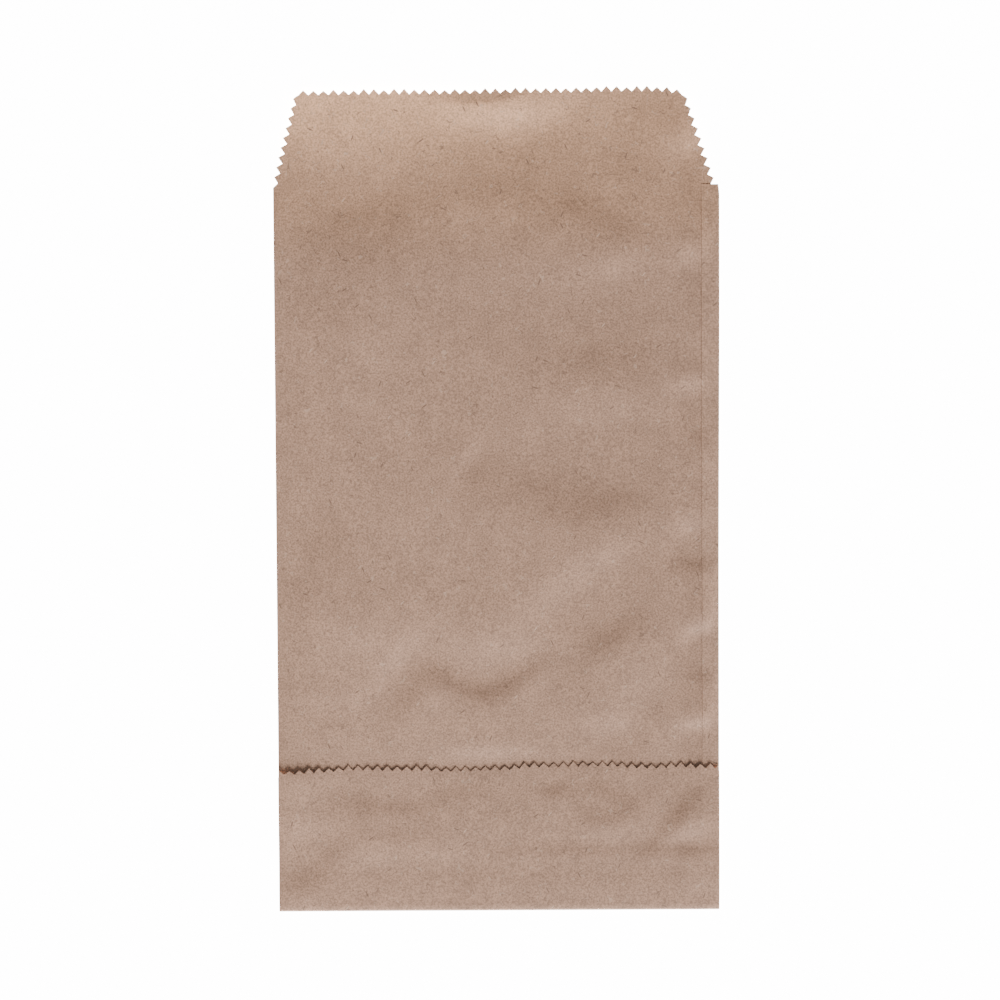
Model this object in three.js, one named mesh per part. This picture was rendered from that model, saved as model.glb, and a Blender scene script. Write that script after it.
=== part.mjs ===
// A flat kraft paper bag, lying on its back. One sheet is folded into a tube and glued along its
// right side. The bottom end is folded up over the front, and the toothed knife that cut the sheet
// left a tapered lip on the front panel. Millimetres: +X is the width, +Y runs from the bottom fold
// to the lip, and +Z points away from the front. The origin is under the middle of the bag.
import * as THREE from "three";

// The folded bag
const BAG_WIDTH = 130;
const MOUTH_HEIGHT = 213;
const FLAP_HEIGHT = 43.2;
const SEAM_WIDTH = 5;
const FRONT_EDGE_INSET = 1.7;

// The lip on the front panel, measured from the mouth and from the bag's two sides
const LIP_HEIGHT = 28;
const LIP_FOOT = 1.2;
const LIP_FOOT_INSET = 1.2;
const LIP_LEFT_INSET = 7.8;
const LIP_RIGHT_INSET = 11;

// The toothed edges
const TOOTH_PITCH = 2.95;
const TOOTH_DEPTH = 1.4;

// The paper, and the air left between its layers
const PAPER = 0.12;
const POCKET_GAP = 0.2;
const SEAM_GAP = 0.05;
const FLAP_GAP = 0.1;

// How the empty bag lies: the front panel stands off the back, the lip springs up from the mouth,
// and the flap's free edge is lifted, more on the left than on the right
const LOFT = 1.2;
const LOFT_RISE = 70;
const LIP_LIFT = 2;
const FLAP_LIFT_LEFT = 2.6;
const FLAP_LIFT_RIGHT = 0.9;

// How finely the sheet is divided
const TEETH_PER_COLUMN = 4;
const PANEL_ROWS = 9;
const FLAP_ROWS = 3;
const LIP_ROWS = 3;
const SIDE_FOLD_STEPS = 6;
const BOTTOM_FOLD_STEPS = 8;

// Heights of the middle of each layer before the bottom end is folded up
const BACK_Z = PAPER / 2;
const FRONT_Z = BACK_Z + PAPER + POCKET_GAP;
const SEAM_Z = FRONT_Z + PAPER + SEAM_GAP;

// The line about which the bottom end is folded up
const AXIS_Z = SEAM_Z + (PAPER + FLAP_GAP) / 2;
const AXIS_Y = AXIS_Z;

// The flat stretch of the panels between the two side folds
const RIGHT_RADIUS = (SEAM_Z - BACK_Z) / 2;
const LEFT_RADIUS = (FRONT_Z - BACK_Z) / 2;
const FLAT_RIGHT = BAG_WIDTH / 2 - RIGHT_RADIUS - PAPER / 2;
const FLAT_LEFT = LEFT_RADIUS + PAPER / 2 - BAG_WIDTH / 2;
const FRONT_EDGE = BAG_WIDTH / 2 - FRONT_EDGE_INSET;
const SEAM_EDGE = BAG_WIDTH / 2 - SEAM_WIDTH;

// The teeth across the panels, shared out among the columns
const TEETH = Math.round((FLAT_RIGHT - FLAT_LEFT) / TOOTH_PITCH);
const PITCH = (FLAT_RIGHT - FLAT_LEFT) / TEETH;
const COLUMNS = Math.max(2, Math.round(TEETH / TEETH_PER_COLUMN));

// The front panel is flat under the seam, from the last valley before the seam's free edge
const SEAM_TOOTH = Math.floor((SEAM_EDGE - FLAT_LEFT) / PITCH);
const LOFT_EDGE = FLAT_LEFT + SEAM_TOOTH * PITCH;

// Places across the sheet: x and z of its middle, and the way its outside faces
function onSeam(x) {
  return { x, z: SEAM_Z, nx: 0, nz: 1, front: false };
}

function onBack(x) {
  return { x, z: BACK_Z, nx: 0, nz: -1, front: false };
}

function onFront(x) {
  return { x, z: FRONT_Z, nx: 0, nz: 1, front: true };
}

function onRightFold(turn) {
  const nx = Math.sin(turn);
  const nz = Math.cos(turn);
  const z = (SEAM_Z + BACK_Z) / 2 + RIGHT_RADIUS * nz;
  return { x: FLAT_RIGHT + RIGHT_RADIUS * nx, z, nx, nz, front: false };
}

function onLeftFold(turn) {
  const nx = -Math.sin(turn);
  const nz = -Math.cos(turn);
  const z = (FRONT_Z + BACK_Z) / 2 + LEFT_RADIUS * nz;
  return { x: FLAT_LEFT + LEFT_RADIUS * nx, z, nx, nz, front: false };
}

// The first tooth of a column, where some number of teeth is shared among the columns
function toothAt(column, teeth) {
  return Math.round((column * teeth) / COLUMNS);
}

function columnX(column, teeth) {
  return FLAT_LEFT + toothAt(column, teeth) * PITCH;
}

// The girth, as a list of places from the seam's free edge to the front panel's covered edge
function girth() {
  const places = [onSeam(SEAM_EDGE)];
  for (let i = 0; i < SIDE_FOLD_STEPS; i += 1) {
    places.push(onRightFold((Math.PI * i) / SIDE_FOLD_STEPS));
  }
  const backStart = places.length;
  for (let column = COLUMNS; column >= 0; column -= 1) {
    places.push(onBack(columnX(column, TEETH)));
  }
  for (let i = 1; i < SIDE_FOLD_STEPS; i += 1) {
    places.push(onLeftFold((Math.PI * i) / SIDE_FOLD_STEPS));
  }
  const frontStart = places.length;
  for (let column = 0; column <= COLUMNS; column += 1) {
    places.push(onFront(columnX(column, SEAM_TOOTH)));
  }
  places.push(onFront(FRONT_EDGE));
  return { places, backStart, frontStart };
}

// A row crosses the sheet at one distance from the fold's line and one turn about it
function rows() {
  const list = [];
  const flapEnd = FLAP_HEIGHT - TOOTH_DEPTH - AXIS_Y;
  for (let i = 0; i < FLAP_ROWS; i += 1) {
    list.push({ reach: flapEnd * (1 - i / FLAP_ROWS), turn: Math.PI });
  }
  for (let i = 0; i < BOTTOM_FOLD_STEPS; i += 1) {
    list.push({ reach: 0, turn: Math.PI * (1 - i / BOTTOM_FOLD_STEPS) });
  }
  for (let i = 0; i < FLAP_ROWS; i += 1) {
    list.push({ reach: ((FLAP_HEIGHT - AXIS_Y) * i) / FLAP_ROWS, turn: 0 });
  }
  for (let i = 0; i <= PANEL_ROWS; i += 1) {
    const y = FLAP_HEIGHT + ((MOUTH_HEIGHT - FLAP_HEIGHT) * i) / PANEL_ROWS;
    list.push({ reach: y - AXIS_Y, turn: 0 });
  }
  return list;
}

function smooth(value) {
  const t = Math.min(1, Math.max(0, value));
  return t * t * (3 - 2 * t);
}

// How far the front panel and its lip stand above the flat
function frontLift(x, y) {
  const across = Math.max(0, 1 - (x / LOFT_EDGE) ** 2);
  const along = smooth((y - FLAP_HEIGHT) / LOFT_RISE);
  const lip = Math.max(0, (y - MOUTH_HEIGHT) / LIP_HEIGHT);
  return LOFT * across * across * along + LIP_LIFT * lip;
}

// How far the flap stands above the flat, from the bottom fold to its free edge
function flapLift(x, reach) {
  const toLeft = 0.5 - x / BAG_WIDTH;
  const edge = FLAP_LIFT_RIGHT + (FLAP_LIFT_LEFT - FLAP_LIFT_RIGHT) * toLeft ** 2;
  return edge * (reach / (FLAP_HEIGHT - AXIS_Y)) ** 2;
}

// A face of the sheet in space: 1 is its outside and -1 its inside
function placeInSpace(point, face) {
  const { place, row } = point;
  const x = place.x + (face * PAPER * place.nx) / 2;
  const height = place.z + (face * PAPER * place.nz) / 2;
  const radius = AXIS_Z - height;
  const y = AXIS_Y - radius * Math.sin(row.turn) + row.reach;
  let z = AXIS_Z - radius * Math.cos(row.turn);
  if (row.turn === 0 && place.front) {
    z += frontLift(x, y);
  }
  if (row.turn === Math.PI) {
    z += flapLift(x, row.reach);
  }
  return [x, y, z];
}

// The sheet's points, its triangles and its two faces. Outlines run anticlockwise, seen from outside.
class Sheet {
  constructor() {
    this.points = [];
    this.triangles = [];
  }

  add(place, row) {
    this.points.push({ place, row });
    return this.points.length - 1;
  }

  // Fills an outline from one of its corners, which none of its straight sides with more than two
  // points may touch
  fill(outline, corner) {
    const first = outline.indexOf(corner);
    const ring = [...outline.slice(first), ...outline.slice(0, first)];
    for (let i = 1; i < ring.length - 1; i += 1) {
      this.triangles.push([ring[0], ring[i], ring[i + 1]]);
    }
  }

  // Edges that only one triangle uses are the sheet's cut edges
  cutEdges() {
    const once = new Map();
    for (const [a, b, c] of this.triangles) {
      for (const [from, to] of [[a, b], [b, c], [c, a]]) {
        if (!once.delete(`${to} ${from}`)) {
          once.set(`${from} ${to}`, [from, to]);
        }
      }
    }
    return [...once.values()];
  }

  geometry() {
    const positions = [];
    for (const point of this.points) {
      positions.push(...placeInSpace(point, 1), ...placeInSpace(point, -1));
    }
    const index = [];
    for (const [a, b, c] of this.triangles) {
      index.push(2 * a, 2 * b, 2 * c);
      index.push(2 * a + 1, 2 * c + 1, 2 * b + 1);
    }
    for (const [a, b] of this.cutEdges()) {
      index.push(2 * a, 2 * a + 1, 2 * b + 1);
      index.push(2 * a, 2 * b + 1, 2 * b);
    }
    const geometry = new THREE.BufferGeometry();
    geometry.setAttribute("position", new THREE.Float32BufferAttribute(positions, 3));
    geometry.setIndex(index);
    geometry.computeVertexNormals();
    return geometry;
  }
}

// Whole teeth on a cut straight across the sheet, from one point to the other. Returns the valleys
// between them. A stretch too short for a tooth stays plain.
function teethAcross(sheet, start, end, on, row, tipRow) {
  const from = sheet.points[start].place.x;
  const width = sheet.points[end].place.x - from;
  const step = Math.sign(width) * PITCH;
  const teeth = Math.abs(width) / PITCH;
  const valleys = [];
  let before = start;
  for (let tooth = 1; tooth < teeth + 0.001; tooth += 1) {
    const tip = sheet.add(on(from + step * (tooth - 0.5)), tipRow);
    const isLast = Math.abs(teeth - tooth) < 0.001;
    const after = isLast ? end : sheet.add(on(from + step * tooth), row);
    sheet.triangles.push([before, tip, after]);
    if (!isLast) {
      valleys.push(after);
    }
    before = after;
  }
  return valleys;
}

function addToLip(sheet, spot) {
  return sheet.add(onFront(spot.x), { reach: spot.y - AXIS_Y, turn: 0 });
}

function spotOf(sheet, index) {
  const { place, row } = sheet.points[index];
  return new THREE.Vector2(place.x, row.reach + AXIS_Y);
}

// A number of teeth on the lip's edge, from one point to the other. Returns the valleys between them.
function teethAlong(sheet, start, end, teeth) {
  const from = spotOf(sheet, start);
  const step = spotOf(sheet, end).sub(from).divideScalar(teeth);
  const out = new THREE.Vector2(step.y, -step.x).setLength(TOOTH_DEPTH);
  const valleys = [];
  let before = start;
  for (let tooth = 1; tooth <= teeth; tooth += 1) {
    const tip = addToLip(sheet, from.clone().addScaledVector(step, tooth - 0.5).add(out));
    const after = tooth === teeth ? end : addToLip(sheet, from.clone().addScaledVector(step, tooth));
    sheet.triangles.push([before, tip, after]);
    if (tooth < teeth) {
      valleys.push(after);
    }
    before = after;
  }
  return valleys;
}

// The tube and the flap, up to the mouth
function buildTube(sheet) {
  const { places, backStart, frontStart } = girth();
  const list = rows();
  const grid = list.map((row) => places.map((place) => sheet.add(place, row)));
  const last = list.length - 1;
  const flapTips = { reach: FLAP_HEIGHT - AXIS_Y, turn: Math.PI };
  const mouthTips = { reach: MOUTH_HEIGHT + TOOTH_DEPTH - AXIS_Y, turn: 0 };
  for (let r = 0; r < last; r += 1) {
    for (let c = 0; c < places.length - 1; c += 1) {
      const inFront = c >= frontStart;
      const inBack = c >= backStart && c < backStart + COLUMNS;
      const on = inFront ? onFront : onBack;
      const a = grid[r][c];
      const b = grid[r][c + 1];
      const d = grid[r + 1][c];
      const e = grid[r + 1][c + 1];
      const low = r === 0 && (inFront || inBack) ? teethAcross(sheet, a, b, on, list[0], flapTips) : [];
      const high = r === last - 1 && inBack ? teethAcross(sheet, e, d, on, list[last], mouthTips) : [];
      sheet.fill([a, ...low, b, e, ...high, d], r === 0 ? e : a);
    }
  }
  return grid[last].slice(frontStart);
}

// The lip, whose lowest row is the mouth's row of the front panel
function buildLip(sheet, mouth) {
  const top = MOUTH_HEIGHT + LIP_HEIGHT - TOOTH_DEPTH;
  const foot = MOUTH_HEIGHT + LIP_FOOT;
  const leftFoot = new THREE.Vector2(FLAT_LEFT + LIP_FOOT_INSET, foot);
  const leftTop = new THREE.Vector2(LIP_LEFT_INSET - BAG_WIDTH / 2, top);
  const rightFoot = new THREE.Vector2(FRONT_EDGE - LIP_FOOT_INSET, foot);
  const rightTop = new THREE.Vector2(BAG_WIDTH / 2 - LIP_RIGHT_INSET, top);
  const leftTeeth = Math.round(leftFoot.distanceTo(leftTop) / TOOTH_PITCH);
  const rightTeeth = Math.round(rightFoot.distanceTo(rightTop) / TOOTH_PITCH);
  const topTeeth = Math.round(leftTop.distanceTo(rightTop) / TOOTH_PITCH);
  const share = (row, teeth) => Math.round((row * teeth) / LIP_ROWS);

  // The top's teeth are shared like the front panel's width, and its last column has at least one
  const last = mouth.length - 1;
  const covered = (FRONT_EDGE - LOFT_EDGE) / (FRONT_EDGE - FLAT_LEFT);
  const lastTeeth = Math.max(1, Math.round(covered * topTeeth));
  const topAt = (column) => (column === last ? topTeeth : toothAt(column, topTeeth - lastTeeth));

  const grid = [mouth];
  for (let row = 0; row <= LIP_ROWS; row += 1) {
    const left = leftFoot.clone().lerp(leftTop, share(row, leftTeeth) / leftTeeth);
    const right = rightFoot.clone().lerp(rightTop, share(row, rightTeeth) / rightTeeth);
    const places = [];
    for (let column = 0; column <= last; column += 1) {
      const { x } = sheet.points[mouth[column]].place;
      const low = (x - FLAT_LEFT) / (FRONT_EDGE - FLAT_LEFT);
      const high = topAt(column) / topTeeth;
      const across = low + ((high - low) * row) / LIP_ROWS;
      places.push(addToLip(sheet, left.clone().lerp(right, across)));
    }
    grid.push(places);
  }

  for (let r = 0; r < grid.length - 1; r += 1) {
    for (let c = 0; c < last; c += 1) {
      const a = grid[r][c];
      const b = grid[r][c + 1];
      const d = grid[r + 1][c];
      const e = grid[r + 1][c + 1];
      let right = [];
      let high = [];
      let left = [];
      if (r > 0 && c === last - 1) {
        right = teethAlong(sheet, b, e, share(r, rightTeeth) - share(r - 1, rightTeeth));
      }
      if (r === grid.length - 2) {
        high = teethAlong(sheet, e, d, topAt(c + 1) - topAt(c));
      }
      if (r > 0 && c === 0) {
        left = teethAlong(sheet, d, a, share(r, leftTeeth) - share(r - 1, leftTeeth));
      }
      sheet.fill([a, b, ...right, e, ...high, d, ...left], c === 0 ? b : a);
    }
  }
}

function buildBag() {
  const sheet = new Sheet();
  const mouth = buildTube(sheet);
  buildLip(sheet, mouth);
  const kraft = new THREE.MeshStandardMaterial({ color: 0xb09985, roughness: 0.85, metalness: 0 });
  kraft.name = "kraft_paper";
  const mesh = new THREE.Mesh(sheet.geometry(), kraft);
  mesh.name = "paper_bag";
  mesh.position.y = -(MOUTH_HEIGHT + LIP_HEIGHT) / 2;
  return mesh;
}

const group = new THREE.Group();
group.name = "flat_paper_bag";
group.add(buildBag());

export default group;
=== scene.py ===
"""A flat kraft paper bag lying on its back, seen from above.

The bag is one sheet of paper. It is folded into a tube with a seam along its right side, its bottom
end is folded up over the front, and its front panel ends in a tapered lip with toothed edges. The
sheet is laid out and folded in millimetres.
"""

import logging
import math
from dataclasses import dataclass, field
from enum import Enum

import bpy
import numpy as np
from mathutils import Euler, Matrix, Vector


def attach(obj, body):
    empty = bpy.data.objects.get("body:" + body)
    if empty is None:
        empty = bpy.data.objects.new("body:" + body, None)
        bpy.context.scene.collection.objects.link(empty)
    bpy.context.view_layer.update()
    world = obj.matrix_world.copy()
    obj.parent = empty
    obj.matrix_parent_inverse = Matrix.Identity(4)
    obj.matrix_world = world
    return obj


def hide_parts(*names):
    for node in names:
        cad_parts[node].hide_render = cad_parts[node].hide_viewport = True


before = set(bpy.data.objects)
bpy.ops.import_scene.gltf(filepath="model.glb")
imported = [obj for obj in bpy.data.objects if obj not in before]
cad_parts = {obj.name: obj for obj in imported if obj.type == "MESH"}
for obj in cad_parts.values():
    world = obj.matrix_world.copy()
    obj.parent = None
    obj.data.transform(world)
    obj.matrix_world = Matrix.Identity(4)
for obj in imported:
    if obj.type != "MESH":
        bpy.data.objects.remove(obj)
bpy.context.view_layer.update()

MM = 0.001
WHITE = (1.0, 1.0, 1.0, 1.0)

Pairs = tuple[tuple[float, float], ...]
Colour = tuple[float, float, float]
Socket = bpy.types.NodeSocket

log = logging.getLogger("paper_bag")


class Bend(Enum):
    """The ways in which a mark in the paper changes its slope."""

    SLOPE = "slope"
    HINGE = "hinge"


@dataclass(frozen=True)
class Mark:
    """A dent, wrinkle or crease in the paper, in millimetres from the middle of the bag.

    A SLOPE mark tilts the paper: where steepness is positive, the paper rises towards the upper side
    of the mark. A HINGE mark is a line beyond whose upper side the paper is bent. A mark is turned by
    its turn in degrees, and a bow bends its two ends upwards.
    """

    x: float
    y: float
    turn: float
    length: float
    width: float
    steepness: float
    bow: float = 0.0
    bend: Bend = Bend.SLOPE
    flank: float = 3.0
    rounding: float = 0.1

    def height(self, x: np.ndarray, y: np.ndarray) -> np.ndarray:
        """Gives the height that this mark adds to the paper.

        Args:
            x: Places across the bag, in millimetres.
            y: Places along the bag, in millimetres.

        Returns:
            The added heights, in millimetres.
        """
        cos, sin = math.cos(math.radians(self.turn)), math.sin(math.radians(self.turn))
        along = ((x - self.x) * cos + (y - self.y) * sin) / self.length
        across = -(x - self.x) * sin + (y - self.y) * cos - self.bow * along**2
        fade = np.exp(-(along**2))
        if self.bend is Bend.HINGE:
            return self.steepness * 0.5 * (across + np.sqrt(across**2 + self.rounding)) * fade
        rise = np.tanh(across / self.width) - np.tanh(across / (self.flank * self.width))
        steady = self.flank / (self.flank - 1)
        return steady * self.steepness * self.width * rise * fade


@dataclass(frozen=True)
class BagSizes:
    """The bag's sizes in millimetres.

    Most are those of the solid that the bag replaces. The flap's teeth are at the pitch that the
    photograph shows.
    """

    width: float = 130.0
    mouth: float = 213.0
    flap: float = 43.2
    seam: float = 5.0
    front_edge_inset: float = 1.7
    lip: float = 28.0
    lip_foot: float = 1.2
    lip_foot_inset: float = 1.2
    lip_right_foot_inset: float = 0.55
    lip_left_inset: float = 7.8
    lip_right_inset: float = 10.7
    lip_right_drop: float = 0.9
    tooth_pitch: float = 2.95
    flap_pitch: float = 2.883
    flap_valley: float = -63.08
    tooth_depth: float = 1.4
    paper: float = 0.12
    pocket_gap: float = 0.2
    seam_gap: float = 0.05
    flap_gap: float = 0.1

    @property
    def half(self) -> float:
        """Half of the bag's width."""
        return self.width / 2

    @property
    def back_z(self) -> float:
        """Height of the middle of the back panel."""
        return self.paper / 2

    @property
    def front_z(self) -> float:
        """Height of the middle of the front panel, before it is lifted."""
        return self.back_z + self.paper + self.pocket_gap

    @property
    def seam_z(self) -> float:
        """Height of the middle of the seam's strip, before it is lifted."""
        return self.front_z + self.paper + self.seam_gap

    @property
    def axis(self) -> float:
        """Height of the line about which the bottom end is folded, and its distance from the end."""
        return self.seam_z + (self.paper + self.flap_gap) / 2

    @property
    def flat_left(self) -> float:
        """Where the panels' flat stretch starts, beside the left fold."""
        return (self.front_z - self.back_z) / 2 + self.paper / 2 - self.half

    @property
    def flat_right(self) -> float:
        """Where the panels' flat stretch ends, beside the right fold."""
        return self.half - (self.seam_z - self.back_z) / 2 - self.paper / 2

    @property
    def front_edge(self) -> float:
        """The front panel's free edge, under the seam's strip."""
        return self.half - self.front_edge_inset

    @property
    def half_pitch(self) -> float:
        """Half of the pitch of the teeth across the lip's foot."""
        span = self.flat_right - self.flat_left
        return span / round(span / self.tooth_pitch) / 2

    @property
    def middle(self) -> float:
        """Distance from the bottom fold to the middle of the bag."""
        return (self.mouth + self.lip) / 2


def smooth(value: np.ndarray) -> np.ndarray:
    """Rises smoothly from 0 to 1 as the value goes from 0 to 1."""
    t = np.clip(value, 0.0, 1.0)
    return t * t * (3 - 2 * t)


def above_zero(value: np.ndarray, softness: float = 0.06) -> np.ndarray:
    """Keeps a height above zero, with a soft knee of the given size."""
    return softness * np.logaddexp(0.0, value / softness)


def along_list(pairs: Pairs, x: np.ndarray, reach: float) -> np.ndarray:
    """Blends the values that a list gives at some places across the bag.

    Args:
        pairs: Places and their values.
        x: Where the blend is wanted.
        reach: How far each value reaches.

    Returns:
        The blended values.
    """
    total, weight = np.zeros_like(x), np.full_like(x, 1e-12)
    for place, value in pairs:
        share = np.exp(-(((x - place) / reach) ** 2))
        total, weight = total + share * value, weight + share
    return total / weight


def zigzag(station: np.ndarray) -> np.ndarray:
    """Gives 0 at the even stations of a toothed edge and 1 at the odd ones."""
    return 1 - np.abs((np.asarray(station, dtype=float) % 2) - 1)


@dataclass
class FrontRelief:
    """How the front panel and its lip stand off the back panel, in millimetres.

    A name that ends in run is the distance over which something comes in, and one that ends in lead
    is how far before an edge it starts.
    """

    sizes: BagSizes
    loft: float = 1.25
    side_run: float = 22.0
    flap_run: float = 40.0
    flap_lead: float = 1.0
    side_foot_run: float = 1.5
    flap_foot_run: float = 3.0
    mouth_loft: float = 0.9
    mouth_start: float = 160.0
    mouth_run: float = 56.0
    mouth_right: float = 40.0
    mouth_right_run: float = 60.0
    lip_lift: float = 1.85
    lip_lead: float = 2.0
    lip_middle: float = 0.82
    lip_lean: float = 0.3
    lip_straight: float = 0.4
    strength: float = 1.5
    rest: float = 0.12
    mark_flap_run: float = 6.0
    mark_side_run: float = 3.0
    marks: tuple[Mark, ...] = field(default_factory=tuple)

    def height(self, x: np.ndarray, y: np.ndarray) -> np.ndarray:
        """Gives the front panel's lift.

        Args:
            x: Places across the bag, in millimetres from its middle.
            y: Places along the bag, in millimetres from the bottom fold.

        Returns:
            The lift above the flat bag, in millimetres.
        """
        size = self.sizes
        side = size.flat_right - np.abs(x)
        past_flap = y - size.flap
        upward = smooth((y - self.mouth_start) / self.mouth_run)
        fall = upward * smooth((self.mouth_right - x) / self.mouth_right_run)
        loft = self.loft - (self.loft - self.mouth_loft) * fall
        loft = loft * (smooth((past_flap + self.flap_lead) / self.flap_run) * smooth(side / self.side_run))
        run = np.maximum(0.0, (y - size.mouth + self.lip_lead) / (size.lip + self.lip_lead))
        lean = self.lip_middle - self.lip_lean * x / size.half
        lip = self.lip_lift * lean * (self.lip_straight * run + (1 - self.lip_straight) * run**2)
        bumps = self.strength * sum(mark.height(x, y - size.middle) for mark in self.marks)
        near = smooth(past_flap / self.mark_flap_run) * smooth(side / self.mark_side_run)
        body = above_zero(loft + (bumps + self.rest) * near) * smooth(side / self.side_foot_run)
        return body * smooth((past_flap + self.flap_lead) / self.flap_foot_run) + lip


@dataclass
class FlapRelief:
    """How the folded-up bottom end stands off the front panel, in millimetres.

    The edge lists how far the flap's free edge stands up, and the cut how far it lies from a straight
    line. A name that ends in run is the distance over which something comes in, and one that ends in
    fall is how far a free edge bends down.
    """

    sizes: BagSizes
    loft: float = 0.45
    loft_run: float = 10.0
    loft_loss: float = 0.85
    loss_start: float = 0.55
    loss_run: float = 0.4
    sag: float = 0.5
    inner_sag: float = 0.37
    strip_sag: float = 0.04
    strip_outer_sag: float = 0.1
    sag_run: float = 14.0
    strip_start: float = 56.5
    strip_run: float = 6.0
    strength: float = 1.5
    mark_run: float = 4.0
    edge_fall: float = 0.04
    tooth_fall: float = 0.06
    lifted_tooth_fall: float = 0.1
    inner_fall: float = 0.15
    side_run: float = 2.0
    marks: tuple[Mark, ...] = field(default_factory=tuple)
    edge_reach: float = 2.8
    edge_power: int = 4
    edge: Pairs = (
        (-66, 0.9), (-62, 0.75), (-58, 0.5), (-54, 0.4), (-50, 0.35), (-46, 0.15), (-42, 0.1),
        (-38, 0.25), (-34, 0.35), (-28, 0.32), (-22, 0.28), (-17, 0.12), (-12, 0.02), (-6, 0.02),
        (0, 0.08), (5, 0.12), (10, 0.22), (15, 0.06), (19, 0), (24, 0.15), (30, 0), (35, 0.15),
        (42, 0.32), (47, 0.12), (52, 0), (55, 0), (60, 0.3), (64, 0.05),
    )
    cut_reach: float = 5.0
    cut: Pairs = (
        (-62, -1.2), (-53, -0.7), (-44, 0.0), (-28, -0.2), (-10, -0.6), (-1, -0.2), (13, 0.7),
        (30, 0.9), (42, 0.4), (45, -0.1), (53, 0.6), (60, 0.2),
    )

    def height(self, x: np.ndarray, reach: np.ndarray, z: np.ndarray) -> np.ndarray:
        """Gives the flap's lift.

        Args:
            x: Places across the bag, in millimetres from its middle.
            reach: Places along the flap, in millimetres from the bottom fold's axis.
            z: The layer's height in the unfolded bag, in millimetres.

        Returns:
            The lift above the flat flap, in millimetres.
        """
        size = self.sizes
        run = np.clip(reach / (size.flap - size.axis), 0.0, 1.1)
        from_middle = reach + size.axis - size.middle
        bumps = self.strength * sum(mark.height(x, from_middle) for mark in self.marks)
        loss = 1 - self.loft_loss * smooth((run - self.loss_start) / self.loss_run)
        loft = self.loft * smooth(reach / self.loft_run) * loss
        outer = np.clip((size.front_z - z) / (size.front_z - size.back_z), 0.0, 1.0)
        free = smooth((self.strip_start - x) / self.strip_run)
        sag = self.inner_sag + (self.sag - self.inner_sag) * outer
        on_strip = self.strip_outer_sag * outer
        sag = self.strip_sag + on_strip + (sag - self.strip_sag - on_strip) * free
        body = above_zero(loft + bumps * smooth(reach / self.mark_run))
        body = body - sag * smooth(reach / self.sag_run)
        return along_list(self.edge, x, self.edge_reach) * run**self.edge_power + body

    def droop(self, x: np.ndarray, tooth: np.ndarray, outer: np.ndarray) -> np.ndarray:
        """Gives how far the layers' free edges bend down towards the front panel.

        Args:
            x: Places across the bag, in millimetres from its middle.
            tooth: How far each place is out towards a tooth's tip, from 0 to 1.
            outer: Which of the places are on the outer layer.

        Returns:
            The fall below the flap's own height, in millimetres.
        """
        lift = along_list(self.edge, x, self.edge_reach)
        from_left, from_right = x - self.sizes.flat_left, self.sizes.flat_right - x
        inside = smooth(from_left / self.side_run) * smooth(from_right / self.side_run)
        tip = (self.tooth_fall + self.lifted_tooth_fall * lift) * tooth
        teeth = (self.edge_fall + tip) * inside
        return self.edge_fall + np.where(outer, teeth, self.inner_fall * lift * inside)


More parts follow.
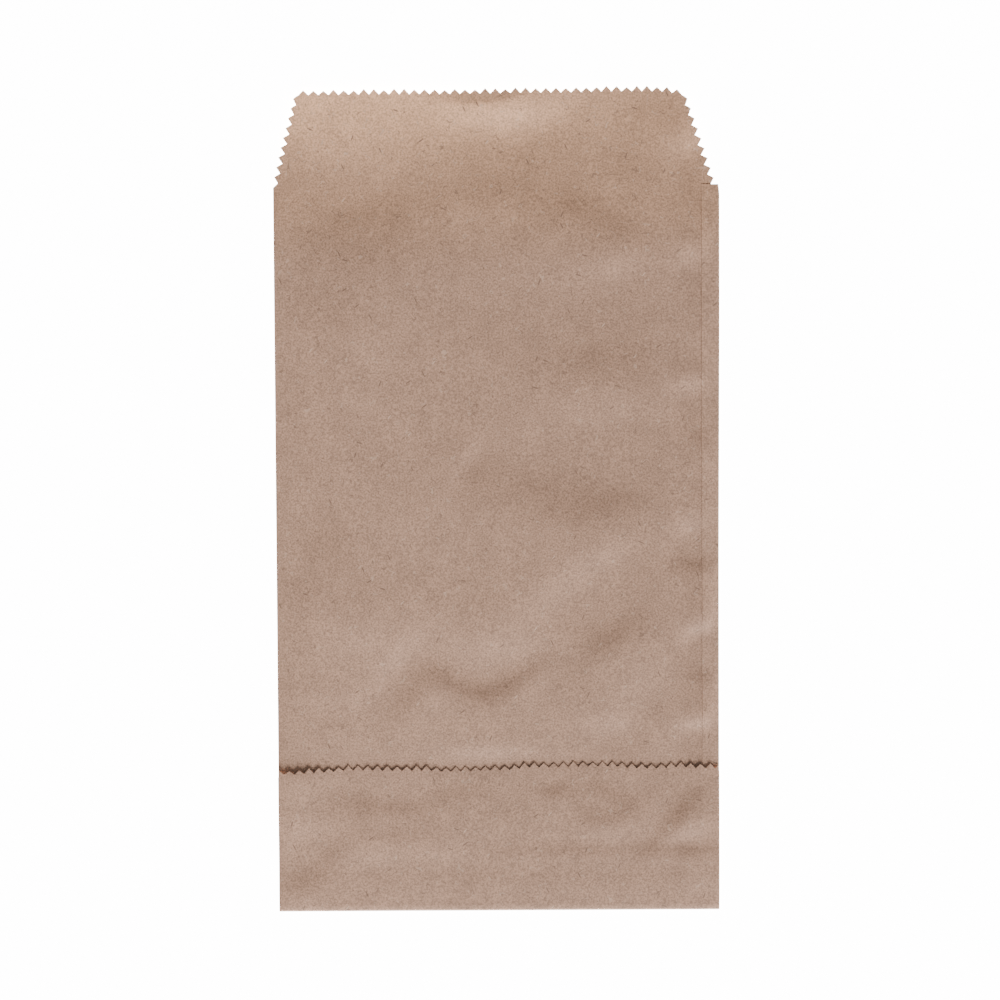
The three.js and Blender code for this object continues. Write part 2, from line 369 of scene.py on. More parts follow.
@dataclass
class Blank:
    """The sheet of paper laid out as rows and columns, and then folded.

    The columns go round the bag, and the rows go from the flap's free edge to the lip's top. Steps
    are how finely a fold or a panel is divided, and the other sizes are in millimetres.
    """

    sizes: BagSizes
    front: FrontRelief
    flap: FlapRelief
    fold_steps: int = 6
    bend_steps: int = 10
    panel_step: float = 1.45
    flap_step: float = 1.45
    fine_teeth: int = 5
    fine_steps: int = 4
    unevenness: float = 0.15
    inner_setback: float = 0.8
    side_margin: float = 3.0
    strip_end: float = 2.4
    strip_lift: float = 0.08
    strip_margin: float = 1.0
    fold_bulge: float = 0.3
    bulge_start: float = 90.0
    bulge_run: float = 100.0
    corner_start: float = 0.955
    lip_cut_reach: float = 8.0
    lip_cut: Pairs = (
        (-55, -0.2), (-25, -0.1), (5, 0.0), (20, 0.1), (32, 0.45), (45, 0.5), (53, 0.2),
    )

    def girth(self) -> tuple[np.ndarray, np.ndarray, np.ndarray, int]:
        """Lists the columns from the seam's free edge round to the front panel's covered edge.

        Returns:
            Each column's x, its height, its station along a toothed edge or -1 in a fold or strip,
            and the number of the front panel's first column.
        """
        size = self.sizes
        span = size.front_edge - size.flat_left
        whole = int(span / size.half_pitch / 2 - 0.2) * 2
        front_x = [size.flat_left + step * size.half_pitch for step in range(whole + 1)]
        front_x.append(size.front_edge)
        strip_edge = size.half - size.seam
        strip_x = [strip_edge] + [place for place in front_x if place > strip_edge + 0.5]
        turns = np.linspace(0, math.pi, self.fold_steps + 1)

        columns = [(place, size.seam_z, -1) for place in strip_x]
        radius = (size.seam_z - size.back_z) / 2
        for turn in turns[:-1]:
            z = size.back_z + radius * (1 + math.cos(turn))
            columns.append((size.flat_right + radius * math.sin(turn), z, -1))
        half = size.flap_pitch / 2
        last = (size.flat_right - size.flap_valley) / half
        columns.append((size.flat_right, size.back_z, last))
        for step in range(int(last), -1, -1):
            columns.append((size.flap_valley + step * half, size.back_z, step))
        columns.append((size.flat_left, size.back_z, 1))
        radius = (size.front_z - size.back_z) / 2
        for turn in turns[1:-1]:
            z = size.back_z + radius * (1 - math.cos(turn))
            columns.append((size.flat_left - radius * math.sin(turn), z, -1))
        front = len(columns)
        for step, place in enumerate(front_x):
            columns.append((place, size.front_z, step if step <= whole else -1))
        x, z, station = np.array(columns).T
        return x, z, station, front

    def rows(self) -> tuple[np.ndarray, np.ndarray]:
        """Lists the rows from the flap's free edge to the mouth.

        Returns:
            Each row's reach from the bottom fold's axis, and its turn about that axis.
        """
        size = self.sizes
        free = size.flap - size.tooth_depth - size.axis
        flap = np.linspace(free, 0, round(free / self.flap_step) + 1)[:-1]
        run = size.mouth - size.axis
        panel = np.linspace(0, run, round(run / self.panel_step) + 1)
        turns = np.linspace(math.pi, 0, self.bend_steps + 1)[:-1]
        reach = np.concatenate([flap, np.zeros(self.bend_steps), panel])
        turn = np.concatenate([np.full(len(flap), math.pi), turns, np.zeros(len(panel))])
        return reach, turn

    def tube(self) -> np.ndarray:
        """Folds the tube and the flap.

        Returns:
            The places of the sheet's middle, by row and column, in millimetres.
        """
        size = self.sizes
        x, z, station, front = self.girth()
        reach, turn = self.rows()
        reach = np.repeat(reach[:, None], len(x), 1)
        turn = np.repeat(turn[:, None], len(x), 1)
        teeth = np.where(station >= 0, zigzag(np.maximum(station, 0)), 0) * size.tooth_depth
        number = np.arange(len(x))
        uneven = 1 + self.unevenness * np.sin(2.3 * number + np.sin(1.7 * number))
        reach[0] += np.where(z == size.back_z, teeth * uneven, -self.inner_setback)
        inside = np.abs(x) < size.flat_right - self.side_margin
        reach[-1, :front] += np.where(inside, teeth, 0)[:front]
        share = np.where(turn == math.pi, np.clip(reach / reach[0].max(), 0, 1) ** 3, 0)
        reach += share * along_list(self.flap.cut, x, self.flap.cut_reach)[None, :]

        x = np.repeat(x[None, :], len(reach), 0)
        z = np.repeat(z[None, :], len(reach), 0)
        radius = size.axis - z
        y = size.axis - radius * np.sin(turn) + reach
        up = size.axis - radius * np.cos(turn)
        strip = int(np.argmax(x[0] > size.flat_right - 1e-6)) + 1
        lifted = turn == 0
        lifted[:, strip:front] = False
        up += np.where(lifted, self.front.height(x, y), 0.0)
        up += np.where(turn == math.pi, self.flap.height(x, reach, z), 0.0)
        up[0] -= self.flap.droop(x[0], teeth / size.tooth_depth, z[0] == size.back_z)

        near_mouth = np.clip((y - size.mouth + self.strip_end) / self.strip_end, 0.0, 1.0)
        bulge = smooth((y - self.bulge_start) / self.bulge_run) - near_mouth
        x = x + np.where(x > size.flat_right, self.fold_bulge, 0.0) * bulge
        on_strip = smooth(x - size.half + size.seam + self.strip_margin)
        y[:, :front] += self.fold_bulge * (on_strip * near_mouth)[:, :front]
        return np.stack([x, y, up], -1)

    def lip(self, mouth: np.ndarray) -> np.ndarray:
        """Lays out the lip above the mouth's row of the front panel.

        Args:
            mouth: The places of that row, in millimetres.

        Returns:
            The places of the lip's rows above the mouth, by row and column, in millimetres.
        """
        size = self.sizes
        foot, top = size.mouth + size.lip_foot, size.mouth + size.lip - size.tooth_depth
        left_foot = np.array([size.flat_left + size.lip_foot_inset, foot])
        left_top = np.array([size.lip_left_inset - size.half, top])
        right_foot_x = size.front_edge - size.lip_right_foot_inset
        right_foot = np.array([right_foot_x, foot - size.lip_right_drop])
        right_top = np.array([size.half - size.lip_right_inset, top - size.lip_right_drop])
        left_side, right_side = left_top - left_foot, right_top - right_foot
        left_out = np.array([-left_side[1], left_side[0]])
        right_out = np.array([right_side[1], -right_side[0]])
        left_length, right_length = np.linalg.norm(left_side), np.linalg.norm(right_side)
        side_stations = 2 * round(float(left_length) / size.tooth_pitch)
        top_teeth = round(float(right_top[0] - left_top[0]) / size.tooth_pitch)
        stations = self.top_stations(top_teeth, mouth.shape[0])
        base = (mouth[:, 0] - size.flat_left) / (size.front_edge - size.flat_left)
        rows = []
        for height in self.lip_rows(side_stations):
            rise = height / side_stations
            left = left_foot + rise * left_side
            right = right_foot + rise * right_side
            share = base + (stations / (2 * top_teeth) - base) * rise
            flat = left + (right - left) * share[:, None]
            corner = smooth((share - self.corner_start) / (1 - self.corner_start))
            flat[:, 1] = left[1] + (right[1] - left[1]) * corner
            uneven = 1 + self.unevenness * math.sin(2.9 * height)
            out = size.tooth_depth * float(zigzag(height)) * uneven
            flat[0] += out * left_out / left_length
            flat[-1] += out * right_out / right_length
            flat[:, 1] += along_list(self.lip_cut, flat[:, 0], self.lip_cut_reach) * rise**3
            rows.append(flat)
        number = np.round(stations)
        uneven = 1 + self.unevenness * np.sin(2.1 * number + np.sin(1.3 * number))
        rows[-1][:, 1] += size.tooth_depth * zigzag(stations) * uneven
        flat = np.array(rows)
        up = size.front_z + self.front.height(flat[..., 0], flat[..., 1])
        up += self.strip_lift * self.beside_strip(flat[..., 0], flat[..., 1])
        return np.concatenate([flat, up[..., None]], -1)

    def beside_strip(self, x: np.ndarray, y: np.ndarray) -> np.ndarray:
        """Tells where the lip is close to the strip's end, which it has to clear.

        Args:
            x: Places across the bag, in millimetres from its middle.
            y: Places along the bag, in millimetres from the bottom fold.

        Returns:
            How much of the clearance each place needs, from 0 to 1.
        """
        size = self.sizes
        beside = smooth((x - size.half + size.seam + self.strip_margin) / 1.5)
        past = y - size.mouth - 0.3
        return beside * smooth(past / 0.5) * (1 - smooth(past / 4))

    def lip_rows(self, stations: int) -> np.ndarray:
        """Shares out the lip's rows, one for each half tooth.

        Args:
            stations: How many half teeth the lip's side has.

        Returns:
            The rows' stations. The last ones are closer together, for the dent in the lip's edge.
        """
        fine = stations - self.fine_teeth
        steps = self.fine_teeth * self.fine_steps
        return np.concatenate([np.arange(0, fine), np.linspace(fine, stations, steps + 1)])

    @staticmethod
    def top_stations(teeth: int, columns: int) -> np.ndarray:
        """Shares the stations of the lip's top edge among the columns.

        Args:
            teeth: How many teeth the edge has.
            columns: How many columns reach it.

        Returns:
            A station for each column. Those beyond one for each half tooth lie half way along a flank.
        """
        spare = columns - (2 * teeth + 1)
        between = np.round(np.linspace(2, 2 * teeth - 3, spare)) + 0.5
        return np.sort(np.concatenate([np.arange(2 * teeth + 1), between]))


@dataclass(frozen=True)
class Noise:
    """A noise over the paper: features in a metre, finer layers, their strength, and swirl."""

    scale: float
    detail: float
    rough: float = 0.5
    warp: float = 0.0


@dataclass(frozen=True)
class Mottle:
    """An uneven tone: its noise, and the factors on the colour where it is darkest and palest."""

    noise: Noise
    dark: float
    pale: float


@dataclass(frozen=True)
class Curls:
    """Curved fibres: where they run, how thin they are, where they break off, and how strongly."""

    course: Noise
    thin: float
    breaks: Noise
    broken: float
    strength: float


@dataclass(frozen=True)
class Dashes:
    """Short straight fibres.

    The scale is the number of cells in a metre across the fibres, each with one fibre at most. The
    share is how many of the cells have one, the size is half of a fibre's width as a part of a cell,
    and the turns are its directions in degrees from the bag's width.
    """

    scale: float
    share: float
    size: float
    turns: tuple[float, ...]
    stretch: float = 5.0
    strength: float = 0.9


@dataclass
class PaperNodes:
    """Adds shader nodes to the paper's material and joins them."""

    tree: bpy.types.ShaderNodeTree
    place: Socket = field(init=False)
    across: Socket = field(init=False)
    along: Socket = field(init=False)

    def __post_init__(self) -> None:
        """Reads the place on the paper, and how far across and along the bag it is."""
        self.place = self.tree.nodes.new("ShaderNodeTexCoord").outputs["Object"]
        split = self.tree.nodes.new("ShaderNodeSeparateXYZ")
        self.tree.links.new(self.place, split.inputs[0])
        self.across, self.along = split.outputs["X"], split.outputs["Y"]

    def feed(self, socket: Socket, value: Socket | Colour | float) -> None:
        """Gives a socket its value.

        Args:
            socket: The socket.
            value: A node's output, a colour as three numbers, or a number.
        """
        if isinstance(value, Socket):
            self.tree.links.new(value, socket)
        else:
            socket.default_value = (*value, 1.0) if isinstance(value, tuple) else value

    def noise(self, noise: Noise) -> Socket:
        """Adds a noise over the paper.

        Args:
            noise: Its values.

        Returns:
            The noise's value, about 0.5 on average.
        """
        node = self.tree.nodes.new("ShaderNodeTexNoise")
        self.feed(node.inputs["Vector"], self.place)
        self.feed(node.inputs["Scale"], noise.scale)
        self.feed(node.inputs["Detail"], noise.detail)
        self.feed(node.inputs["Roughness"], noise.rough)
        self.feed(node.inputs["Distortion"], noise.warp)
        return node.outputs["Fac"]

    def reckon(self, kind: str, first: Socket, second: Socket | float) -> Socket:
        """Reckons with two values.

        Args:
            kind: The Math node's operation.
            first: The first value.
            second: The second value, from a node or as a number.

        Returns:
            The result.
        """
        node = self.tree.nodes.new("ShaderNodeMath")
        node.operation = kind
        self.feed(node.inputs[0], first)
        self.feed(node.inputs[1], second)
        return node.outputs[0]

    def ramp(self, value: Socket, low: float, high: float, start: float, end: float) -> Socket:
        """Maps a value's range smoothly onto another.

        Args:
            value: The value.
            low: Where its range starts.
            high: Where its range ends.
            start: The result at the range's start.
            end: The result at the range's end.

        Returns:
            The mapped value.
        """
        node = self.tree.nodes.new("ShaderNodeMapRange")
        node.interpolation_type = "SMOOTHSTEP"
        self.feed(node.inputs["Value"], value)
        slots = ("From Min", "From Max", "To Min", "To Max")
        for slot, number in zip(slots, (low, high, start, end)):
            self.feed(node.inputs[slot], number)
        return node.outputs["Result"]

    def blend(
        self, kind: str, amount: Socket | float, first: Socket | Colour, second: Socket | Colour
    ) -> Socket:
        """Mixes two colours.

        Args:
            kind: The Mix node's blending mode.
            amount: The share of the second colour, from 0 to 1.
            first: The first colour, from a node or as three numbers.
            second: The second colour, from a node or as three numbers.

        Returns:
            The mixed colour.
        """
        node = self.tree.nodes.new("ShaderNodeMix")
        node.data_type = "RGBA"
        node.blend_type = kind
        for slot, value in ((0, amount), (6, first), (7, second)):
            self.feed(node.inputs[slot], value)
        return node.outputs[2]

    def mottle(self, mottle: Mottle) -> Socket:
        """Makes an uneven tone.

        Args:
            mottle: Its values.

        Returns:
            The factor on the paper's colour.
        """
        return self.ramp(self.noise(mottle.noise), 0.3, 0.7, mottle.dark, mottle.pale)

    def curls(self, curls: Curls) -> Socket:
        """Draws short thin curved fibres.

        Args:
            curls: Their values.

        Returns:
            Their mask, 1 on a fibre.
        """
        off_course = self.reckon("SUBTRACT", self.noise(curls.course), 0.5)
        line = self.reckon("ABSOLUTE", off_course, 0.0)
        drawn = self.ramp(line, curls.thin, curls.thin * 0.3, 0.0, 1.0)
        whole = self.ramp(self.noise(curls.breaks), curls.broken, curls.broken + 0.04, 0.0, 1.0)
        return self.reckon("MULTIPLY", drawn, whole)

    def dashes(self, dashes: Dashes, turn: float) -> Socket:
        """Draws a few short straight fibres that lie one way.

        Args:
            dashes: Their values.
            turn: The fibres' direction, in degrees from the bag's width.

        Returns:
            Their mask, about 1 on a fibre.
        """
        size, bare = dashes.size, 1 - dashes.share
        stretch = self.tree.nodes.new("ShaderNodeMapping")
        stretch.vector_type = "TEXTURE"
        stretch.inputs["Rotation"].default_value = (0.0, 0.0, math.radians(turn))
        stretch.inputs["Scale"].default_value = (dashes.stretch, 1.0, 1.0)
        self.feed(stretch.inputs["Vector"], self.place)
        cells = self.tree.nodes.new("ShaderNodeTexVoronoi")
        cells.voronoi_dimensions = "2D"
        self.feed(cells.inputs["Scale"], dashes.scale)
        self.feed(cells.inputs["Vector"], stretch.outputs["Vector"])
        split = self.tree.nodes.new("ShaderNodeSeparateColor")
        self.feed(split.inputs[0], cells.outputs["Color"])
        chance = split.outputs["Red"]
        radius = self.ramp(chance, bare, 1 - dashes.share / 2, 0.0, size)
        outside = self.reckon("SUBTRACT", cells.outputs["Distance"], radius)
        inside = self.ramp(outside, -size / 4, size / 5, 1.0, 0.0)
        chosen = self.ramp(chance, bare, 1.02 - dashes.share, 0.0, dashes.strength)
        return self.reckon("MULTIPLY", inside, chosen)


@dataclass(frozen=True)
class KraftFinish:
    """Uncoated brown kraft paper: its colours, fibres and grain, with painted light on the lip and across
    the bag, and places in metres.
    """

    name: str = "kraft_paper"
    colour: Colour = (0.425, 0.25, 0.168)
    mouth_colour: Colour = (0.445, 0.253, 0.156)
    # painted light: the lip's paler, warmer colour stands in for light through the single sheet and for
    # its tilt to the lamp
    lip_painted_light_colour: Colour = (0.75, 0.423, 0.246)
    dark_fibre: Colour = (0.2, 0.12, 0.08)
    pale_fibre: Colour = (0.64, 0.43, 0.31)
    roughness: float = 0.62
    specular: float = 0.4
    mouth_start: float = 0.065
    # the painted light on the lip grows upwards between the next two places, and fades towards the right
    # between the two after
    lip_start: float = 0.091
    lip_end: float = 0.122
    lip_left: float = -0.02
    lip_right: float = 0.042
    lip_right_light_share: float = 0.3
    side: float = 0.065
    # painted light and shade: the paper is made lighter on the left and darker on the right, standing in
    # for the lamp's falloff across the bag
    left_painted_light: float = 1.05
    right_painted_shade: float = 0.95
    strip_start: float = 0.0598
    strip_end: float = 0.0602
    strip_tone: float = 1.06
    cloud: Mottle = Mottle(Noise(160.0, 4.0, 0.6), 0.93, 1.07)
    grain: Mottle = Mottle(Noise(1900.0, 2.0, 0.65), 0.725, 1.28)
    dark_curls: Curls = Curls(Noise(420.0, 1.0, 0.4, 0.6), 0.02, Noise(650.0, 0.0), 0.57, 0.62)
    pale_curls: Curls = Curls(Noise(380.0, 1.0, 0.4, 0.6), 0.018, Noise(560.0, 0.0), 0.56, 0.46)
    dark_dashes: Dashes = Dashes(230.0, 0.13, 0.043, (-20.0, 35.0, 70.0, 115.0))
    pale_dashes: Dashes = Dashes(250.0, 0.12, 0.038, (50.0,))
    tooth: Noise = Noise(1100.0, 3.0, 0.6)
    fibre_height: float = 0.5
    bump_strength: float = 0.5
    bump_depth: float = 0.00003

    def build(self) -> bpy.types.Material:
        """Builds the paper's material.

        Returns:
            The material, on Object coordinates.
        """
        material = bpy.data.materials.new(self.name)
        material.use_nodes = True
        paper = PaperNodes(material.node_tree)
        shader = material.node_tree.nodes["Principled BSDF"]
        shader.inputs["Roughness"].default_value = self.roughness
        shader.inputs["Specular IOR Level"].default_value = self.specular
        dark, pale = paper.curls(self.dark_curls), paper.curls(self.pale_curls)

        colour = paper.blend("MULTIPLY", 1.0, self.base(paper), self.tone(paper))
        for mask, curls, fibre in (
            (pale, self.pale_curls, self.pale_fibre),
            (dark, self.dark_curls, self.dark_fibre),
        ):
            strength = paper.reckon("MULTIPLY", mask, curls.strength)
            colour = paper.blend("MIX", strength, colour, fibre)
        for dashes, fibre in (
            (self.dark_dashes, self.dark_fibre),
            (self.pale_dashes, self.pale_fibre),
        ):
            for turn in dashes.turns:
                colour = paper.blend("MIX", paper.dashes(dashes, turn), colour, fibre)
        paper.feed(shader.inputs["Base Color"], colour)

        bump = material.node_tree.nodes.new("ShaderNodeBump")
        bump.inputs["Strength"].default_value = self.bump_strength
        bump.inputs["Distance"].default_value = self.bump_depth
        fibres = paper.reckon("ADD", dark, pale)
        raised = paper.reckon("MULTIPLY", fibres, self.fibre_height)
        paper.feed(bump.inputs["Height"], paper.reckon("ADD", paper.noise(self.tooth), raised))
        paper.feed(shader.inputs["Normal"], bump.outputs["Normal"])
        return material

    def base(self, paper: PaperNodes) -> Socket:
        """Mixes the paper's colour: a slightly warmer tone towards the mouth, and painted light on the
        lip, which grows paler and warmer towards its top and its left. The lip's colour stands in for
        light through the single sheet and for its tilt to the lamp.

        Args:
            paper: The material's nodes.

        Returns:
            The colour, without its grain.
        """
        near_mouth = paper.ramp(paper.along, self.mouth_start, self.lip_start, 0.0, 1.0)
        upward = paper.ramp(paper.along, self.lip_start, self.lip_end, 0.0, 1.0)
        sideways = paper.ramp(
            paper.across, self.lip_left, self.lip_right, 1.0, self.lip_right_light_share
        )
        colour = paper.blend("MIX", near_mouth, self.colour, self.mouth_colour)
        # painted light: the mask of the lip's paler, warmer colour, growing upwards and fading to the
        # right
        painted_lip_light = paper.reckon("MULTIPLY", upward, sideways)
        return paper.blend("MIX", painted_lip_light, colour, self.lip_painted_light_colour)

    def tone(self, paper: PaperNodes) -> Socket:
        """Makes the paper's uneven tone: painted light across the bag, lighter on the left and darker on
        the right as the lamp's falloff would make it, paler over the seam, in clouds, and in grains.

        Args:
            paper: The material's nodes.

        Returns:
            The factor on the paper's colour, about 1 on average.
        """
        # painted light: lighter on the left, darker on the right, across the bag
        broad = paper.ramp(paper.across, -self.side, self.side, self.left_painted_light, self.right_painted_shade)
        strip = paper.ramp(paper.across, self.strip_start, self.strip_end, 1.0, self.strip_tone)
        broad = paper.reckon("MULTIPLY", broad, strip)
        fine = paper.reckon("MULTIPLY", paper.mottle(self.cloud), paper.mottle(self.grain))
        return paper.reckon("MULTIPLY", broad, fine)


@dataclass
class PaperBag:
    """The bag: one folded sheet of kraft paper."""

    sizes: BagSizes = field(default_factory=BagSizes)
    finish: KraftFinish = field(default_factory=KraftFinish)
    front_marks: tuple[Mark, ...] = field(default_factory=tuple)
    flap_marks: tuple[Mark, ...] = field(default_factory=tuple)
    smooth_below: float = 50.0

    def build(self) -> bpy.types.Object:
        """Lays out the sheet as a grid, folds it, trims it to the blank and gives it its thickness.

        Returns:
            The finished mesh object.
        """
        front = FrontRelief(self.sizes, marks=self.front_marks)
        flap = FlapRelief(self.sizes, marks=self.flap_marks)
        blank = Blank(self.sizes, front, flap)
        tube = blank.tube()
        mouth, first = tube.shape[0], blank.girth()[3]
        lip = blank.lip(tube[-1, first:])
        rows, columns = mouth + lip.shape[0], tube.shape[1]
        places = np.zeros((rows, columns, 3))
        places[:mouth] = tube
        places[mouth:, first:] = lip
        places[..., 1] -= self.sizes.middle

        bpy.ops.object.select_all(action="DESELECT")
        bpy.ops.mesh.primitive_grid_add(
            x_subdivisions=columns - 1, y_subdivisions=rows - 1, size=1
        )
        sheet = bpy.context.object
        sheet.name = "kraft_bag"
        mesh = sheet.data
        if len(mesh.vertices) != rows * columns:
            raise ValueError(f"the grid has {len(mesh.vertices)} points, not {rows} by {columns}")
        grid = np.empty(len(mesh.vertices) * 3)
        mesh.vertices.foreach_get("co", grid)
        grid = grid.reshape(-1, 3)
        column = np.round((grid[:, 0] + 0.5) * (columns - 1)).astype(int)
        row = np.round((grid[:, 1] + 0.5) * (rows - 1)).astype(int)
        mesh.vertices.foreach_set("co", (places[row, column] * MM).ravel())
        mesh.update()
        self.trim(sheet, row >= mouth, column < first)
        self.thicken(sheet)
        return sheet

    @staticmethod
    def trim(sheet: bpy.types.Object, above: np.ndarray, behind: np.ndarray) -> None:
        """Cuts away the part of the grid that isn't paper: above the mouth, only the lip is left.

        Args:
            sheet: The grid's object.
            above: Which of its points are above the mouth.
            behind: Which of its points aren't on the front panel.
        """
        bpy.ops.object.mode_set(mode="EDIT")
        bpy.ops.mesh.select_mode(type="FACE")
        bpy.ops.mesh.select_all(action="DESELECT")
        bpy.ops.object.mode_set(mode="OBJECT")
        for face in sheet.data.polygons:
            corners = list(face.vertices)
            face.select = bool(above[corners].any() and behind[corners].any())
        bpy.ops.object.mode_set(mode="EDIT")
        bpy.ops.mesh.delete(type="FACE")
        bpy.ops.object.mode_set(mode="OBJECT")

    def thicken(self, sheet: bpy.types.Object) -> None:
        """Gives the folded sheet the paper's thickness, and smooths all but its cut edges.

        Args:
            sheet: The folded sheet's object.
        """
        solid = sheet.modifiers.new("paper", "SOLIDIFY")
        solid.thickness = self.sizes.paper * MM
        solid.offset = 0.0
        bpy.ops.object.modifier_apply(modifier=solid.name)
        bpy.ops.object.mode_set(mode="EDIT")
        bpy.ops.mesh.select_all(action="SELECT")
        bpy.ops.mesh.normals_make_consistent(inside=False)
        bpy.ops.object.mode_set(mode="OBJECT")
        bpy.ops.object.shade_smooth_by_angle(angle=math.radians(self.smooth_below))

    def dress(self, sheet: bpy.types.Object) -> None:
        """Gives the bag its paper and its body, and hides the solid in model.glb that it replaces.

        Args:
            sheet: The finished mesh object.
        """
        sheet.data.materials.clear()
        sheet.data.materials.append(self.finish.build())
        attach(sheet, "root")
        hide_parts("paper_bag")


@dataclass(frozen=True)
class Studio:
    """The pale floor, the soft light and the camera, in metres and degrees."""

    floor_size: float = 6.0
    floor_depth: float = 0.0001
    floor_colour: Colour = (0.9, 0.9, 0.9)
    floor_roughness: float = 0.9
    floor_glow: float = 14.0
    key_power: float = 395.0
    key_size: float = 2.5
    key_distance: float = 4.0
    key_turn: float = 13.0
    key_height: float = 25.0
    sky: float = 0.31
    camera_place: tuple[float, float, float] = (0.00085, 0.03026, 0.69252)
    camera_turn: tuple[float, float, float] = (-2.4318, -0.0074, -0.3032)
    lens: float = 85.0
    film: float = 36.0

    def floor(self) -> bpy.types.Object:
        """Lays the floor under the bag. Its glow lights nothing else.

        Returns:
            The floor.
        """
        bpy.ops.object.select_all(action="DESELECT")
        bpy.ops.mesh.primitive_plane_add(
            size=self.floor_size, location=(0, 0, -self.floor_depth)
        )
        floor = bpy.context.object
        floor.name = "floor"
        bpy.ops.object.transform_apply(location=True, rotation=False, scale=False)
        material = bpy.data.materials.new("pale_floor")
        material.use_nodes = True
        shader = material.node_tree.nodes["Principled BSDF"]
        shader.inputs["Base Color"].default_value = (*self.floor_colour, 1.0)
        shader.inputs["Roughness"].default_value = self.floor_roughness
        shader.inputs["Emission Color"].default_value = WHITE
        shader.inputs["Emission Strength"].default_value = self.floor_glow
        floor.data.materials.append(material)
        lit = bpy.data.collections.new("lit_by_floor")
        floor.light_linking.receiver_collection = lit
        return floor

    def light(self) -> bpy.types.Object:
        """Sets a broad lamp low beyond the bag's bottom end, and an even pale sky.

        Returns:
            The lamp.
        """
        turn, height = math.radians(self.key_turn), math.radians(self.key_height)
        level = math.cos(height)
        way = Vector((math.sin(turn) * level, -math.cos(turn) * level, math.sin(height)))
        bpy.ops.object.light_add(type="AREA", location=way * self.key_distance)
        lamp = bpy.context.object
        lamp.name = "key_light"
        lamp.data.energy = self.key_power
        lamp.data.size = self.key_size
        lamp.rotation_euler = way.to_track_quat("Z", "Y").to_euler()
        world = bpy.data.worlds.new("soft_sky")
        bpy.context.scene.world = world
        world.use_nodes = True
        sky = world.node_tree.nodes["Background"]
        sky.inputs["Color"].default_value = WHITE
        sky.inputs["Strength"].default_value = self.sky
        return lamp

    def camera(self) -> bpy.types.Object:
        """Places the camera above the bag, as in the photograph.

        Returns:
            The camera.
        """
        data = bpy.data.cameras.new("camera")
        data.lens = self.lens
        data.sensor_width = self.film
        camera = bpy.data.objects.new("camera", data)
        bpy.context.scene.collection.objects.link(camera)
        camera.location = self.camera_place
        camera.rotation_euler = Euler([math.radians(turn) for turn in self.camera_turn], "XYZ")
        bpy.context.scene.camera = camera
        return camera


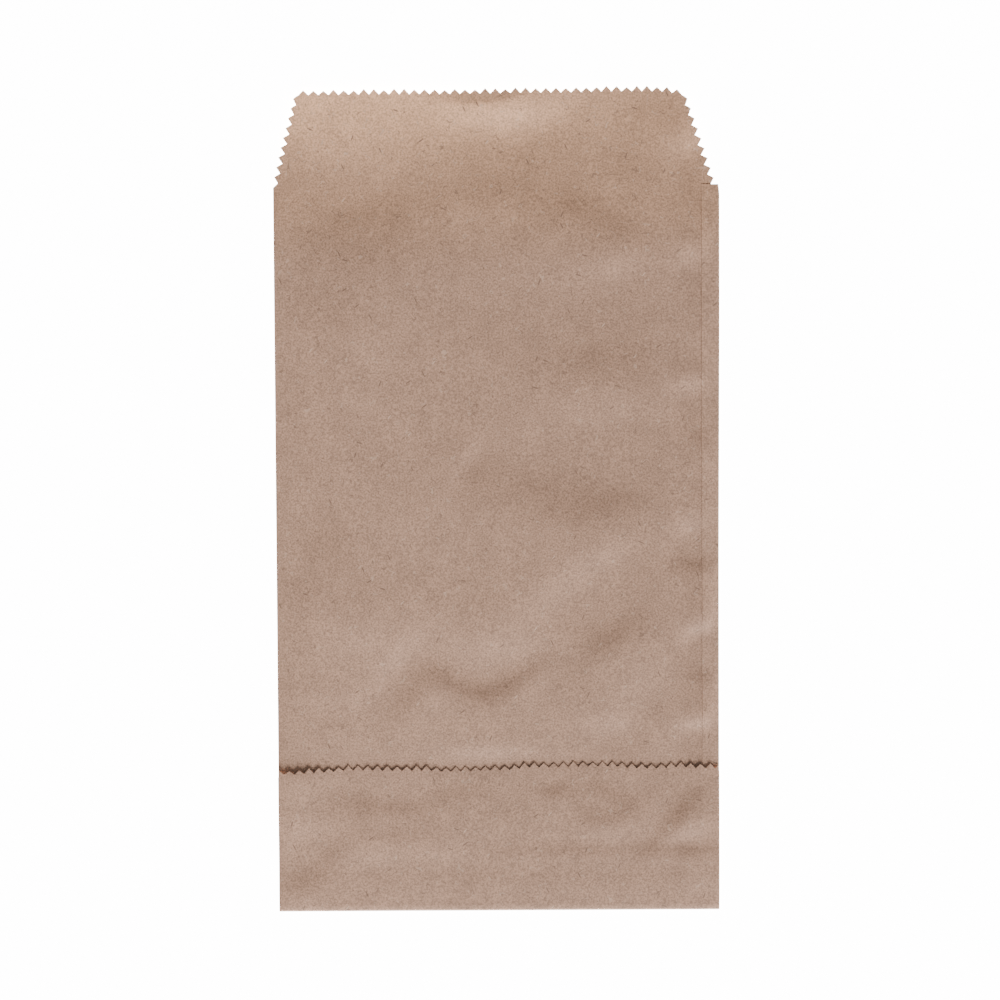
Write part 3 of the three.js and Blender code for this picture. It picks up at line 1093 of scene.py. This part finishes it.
FRONT_MARKS = (
    Mark(-43, 85, 0, 22, 6, -0.072),
    Mark(-43, 75, 0, 22, 8, -0.08),
    Mark(-50, 54, 0, 16, 8, -0.045),
    Mark(4, 112, 3, 17, 5, 0.183, 2),
    Mark(-3.5, 116.6, 5, 12, 1, -0.24, 1, Bend.HINGE),
    Mark(46, 112, -10, 10, 8, -0.036),
    Mark(36, 69, 10, 9, 5, 0.067),
    Mark(56, 104, 30, 6, 5, 0.133),
    Mark(10, 66, 0, 20, 8, 0.033),
    Mark(32, 27, 0, 16, 6, 0.057),
    Mark(-5, 9, -8, 8, 4, -0.013),
    Mark(-10, 12, 55, 8, 2.2, 0.097),
    Mark(33, -15, 20, 9, 4, 0.054),
    Mark(18, -26, 35, 18, 6, 0.088),
    Mark(24, -48, 40, 10, 4, -0.01),
    Mark(6, -42, 0, 14, 5, 0.057),
    Mark(-5, -62, 0, 16, 5, -0.06),
    Mark(-31, -47, 52, 10, 3, 0.106),
    Mark(-48, -58, 3, 13, 2.5, 0.041),
    Mark(-25, -56, 52, 8, 4, -0.088),
    Mark(-20, -10, 0, 22, 10, 0.019),
    Mark(-52, -12, 0, 8, 6, -0.051),
    Mark(-56, -25, 0, 8, 5, -0.035),
    Mark(-50, 8, 0, 12, 8, 0.008),
    Mark(-52, 38, 0, 12, 5, -0.027),
    Mark(57, 72, 0, 6, 4, 0.104),
    Mark(60, 46, 0, 6, 4, 0.03),
    Mark(57, 34, 0, 6, 3, 0.128),
    Mark(60, 20, 0, 7, 4, -0.062),
    Mark(55, 12, 0, 5, 3, -0.011),
    Mark(57, -7, 0, 6, 4, 0.097),
    Mark(59, -18, 8, 8, 3, -0.122),
    Mark(61, -38, 0, 6, 4, 0.207),
    Mark(62, -50, 0, 5, 3, -0.128),
    Mark(60, -66, 0, 6, 3, 0.21),
    Mark(37, -58, 60, 8, 3.5, 0.044),
    Mark(47, -62, 60, 9, 3.5, -0.062),
    Mark(35, -66, 0, 8, 4, 0.073),
    Mark(14, 4, -12, 20, 7, -0.07),
    Mark(36, 1, -5, 8, 4, -0.052),
    Mark(20, -3, 0, 14, 4, -0.04),
    Mark(-4.5, -55.3, 0, 14.5, 4, -0.17, 5.8),
    Mark(33, -39.5, 29, 11, 4.2, -0.093),
    Mark(-36, -40, 10, 16, 8, 0.063),
    Mark(24, 86, -25, 12, 5, -0.073),
    Mark(37, 79, -20, 8, 4, -0.054),
    Mark(0, 93, 8, 9, 3, -0.028),
    Mark(30, 42, -2, 15, 6, -0.049),
    Mark(38, 98, 0, 12, 5, -0.036),
    Mark(-33, -47, 10, 13, 7, -0.013),
    Mark(-2, -68, 0, 14, 4, -0.042),
    Mark(-8, 84, 0, 16, 7, 0.04),
    Mark(-20.5, -50.5, -12, 6, 3.5, -0.06),
    Mark(22, -54, 30, 9, 5, -0.035),
    Mark(-47, 64, 0, 15, 8, -0.045),
)
FLAP_MARKS = (
    Mark(-57, -86, 0, 6, 5, 0.053),
    Mark(-57, -97, 20, 6, 5, 0.072),
    Mark(-33, -89, -5, 14, 4, -0.094),
    Mark(-12, -84, 0, 8, 3, -0.057),
    Mark(17, -84, 0, 4, 2.5, -0.151),
    Mark(33, -84, -35, 6, 3, -0.26),
    Mark(32, -92, 10, 7, 3.5, -0.131),
    Mark(59, -98, 20, 5, 2.5, 0.035),
    Mark(-59, -113, 30, 7, 4, -0.067),
    Mark(-38, -105, 0, 7, 4, 0.041),
    Mark(-13, -104, 0, 7, 4, 0.038),
    Mark(-31, -113, -30, 6, 3, -0.013),
    Mark(30, -103, 0, 9, 2.5, -0.042),
    Mark(38, -112, 0, 10, 4, -0.011),
    Mark(-30, -98, 0, 10, 3, -0.071),
    Mark(-50, -103, 45, 8, 3, -0.053),
    Mark(51.8, -93.2, 51, 15, 2.2, -0.123),
    Mark(54, -102.5, 0, 12, 1.9, -0.103),
    Mark(18, -102.2, 0, 26, 1.6, -0.06),
    Mark(46.5, -90, 48, 12, 3, 0.012),
    Mark(56, -97.6, 25, 9, 2.8, 0.058),
)


def main() -> None:
    """Builds the bag, the floor, the light and the camera, and reports each of them."""
    logging.basicConfig(level=logging.INFO, format="%(message)s")
    bag = PaperBag(front_marks=FRONT_MARKS, flap_marks=FLAP_MARKS)
    sheet = bag.build()
    bag.dress(sheet)
    log.info("%s: %d faces of %s", sheet.name, len(sheet.data.polygons), bag.finish.name)
    studio = Studio()
    for piece in (studio.floor(), studio.light(), studio.camera()):
        log.info("%s: in place", piece.name)


if __name__ == "__main__":
    main()
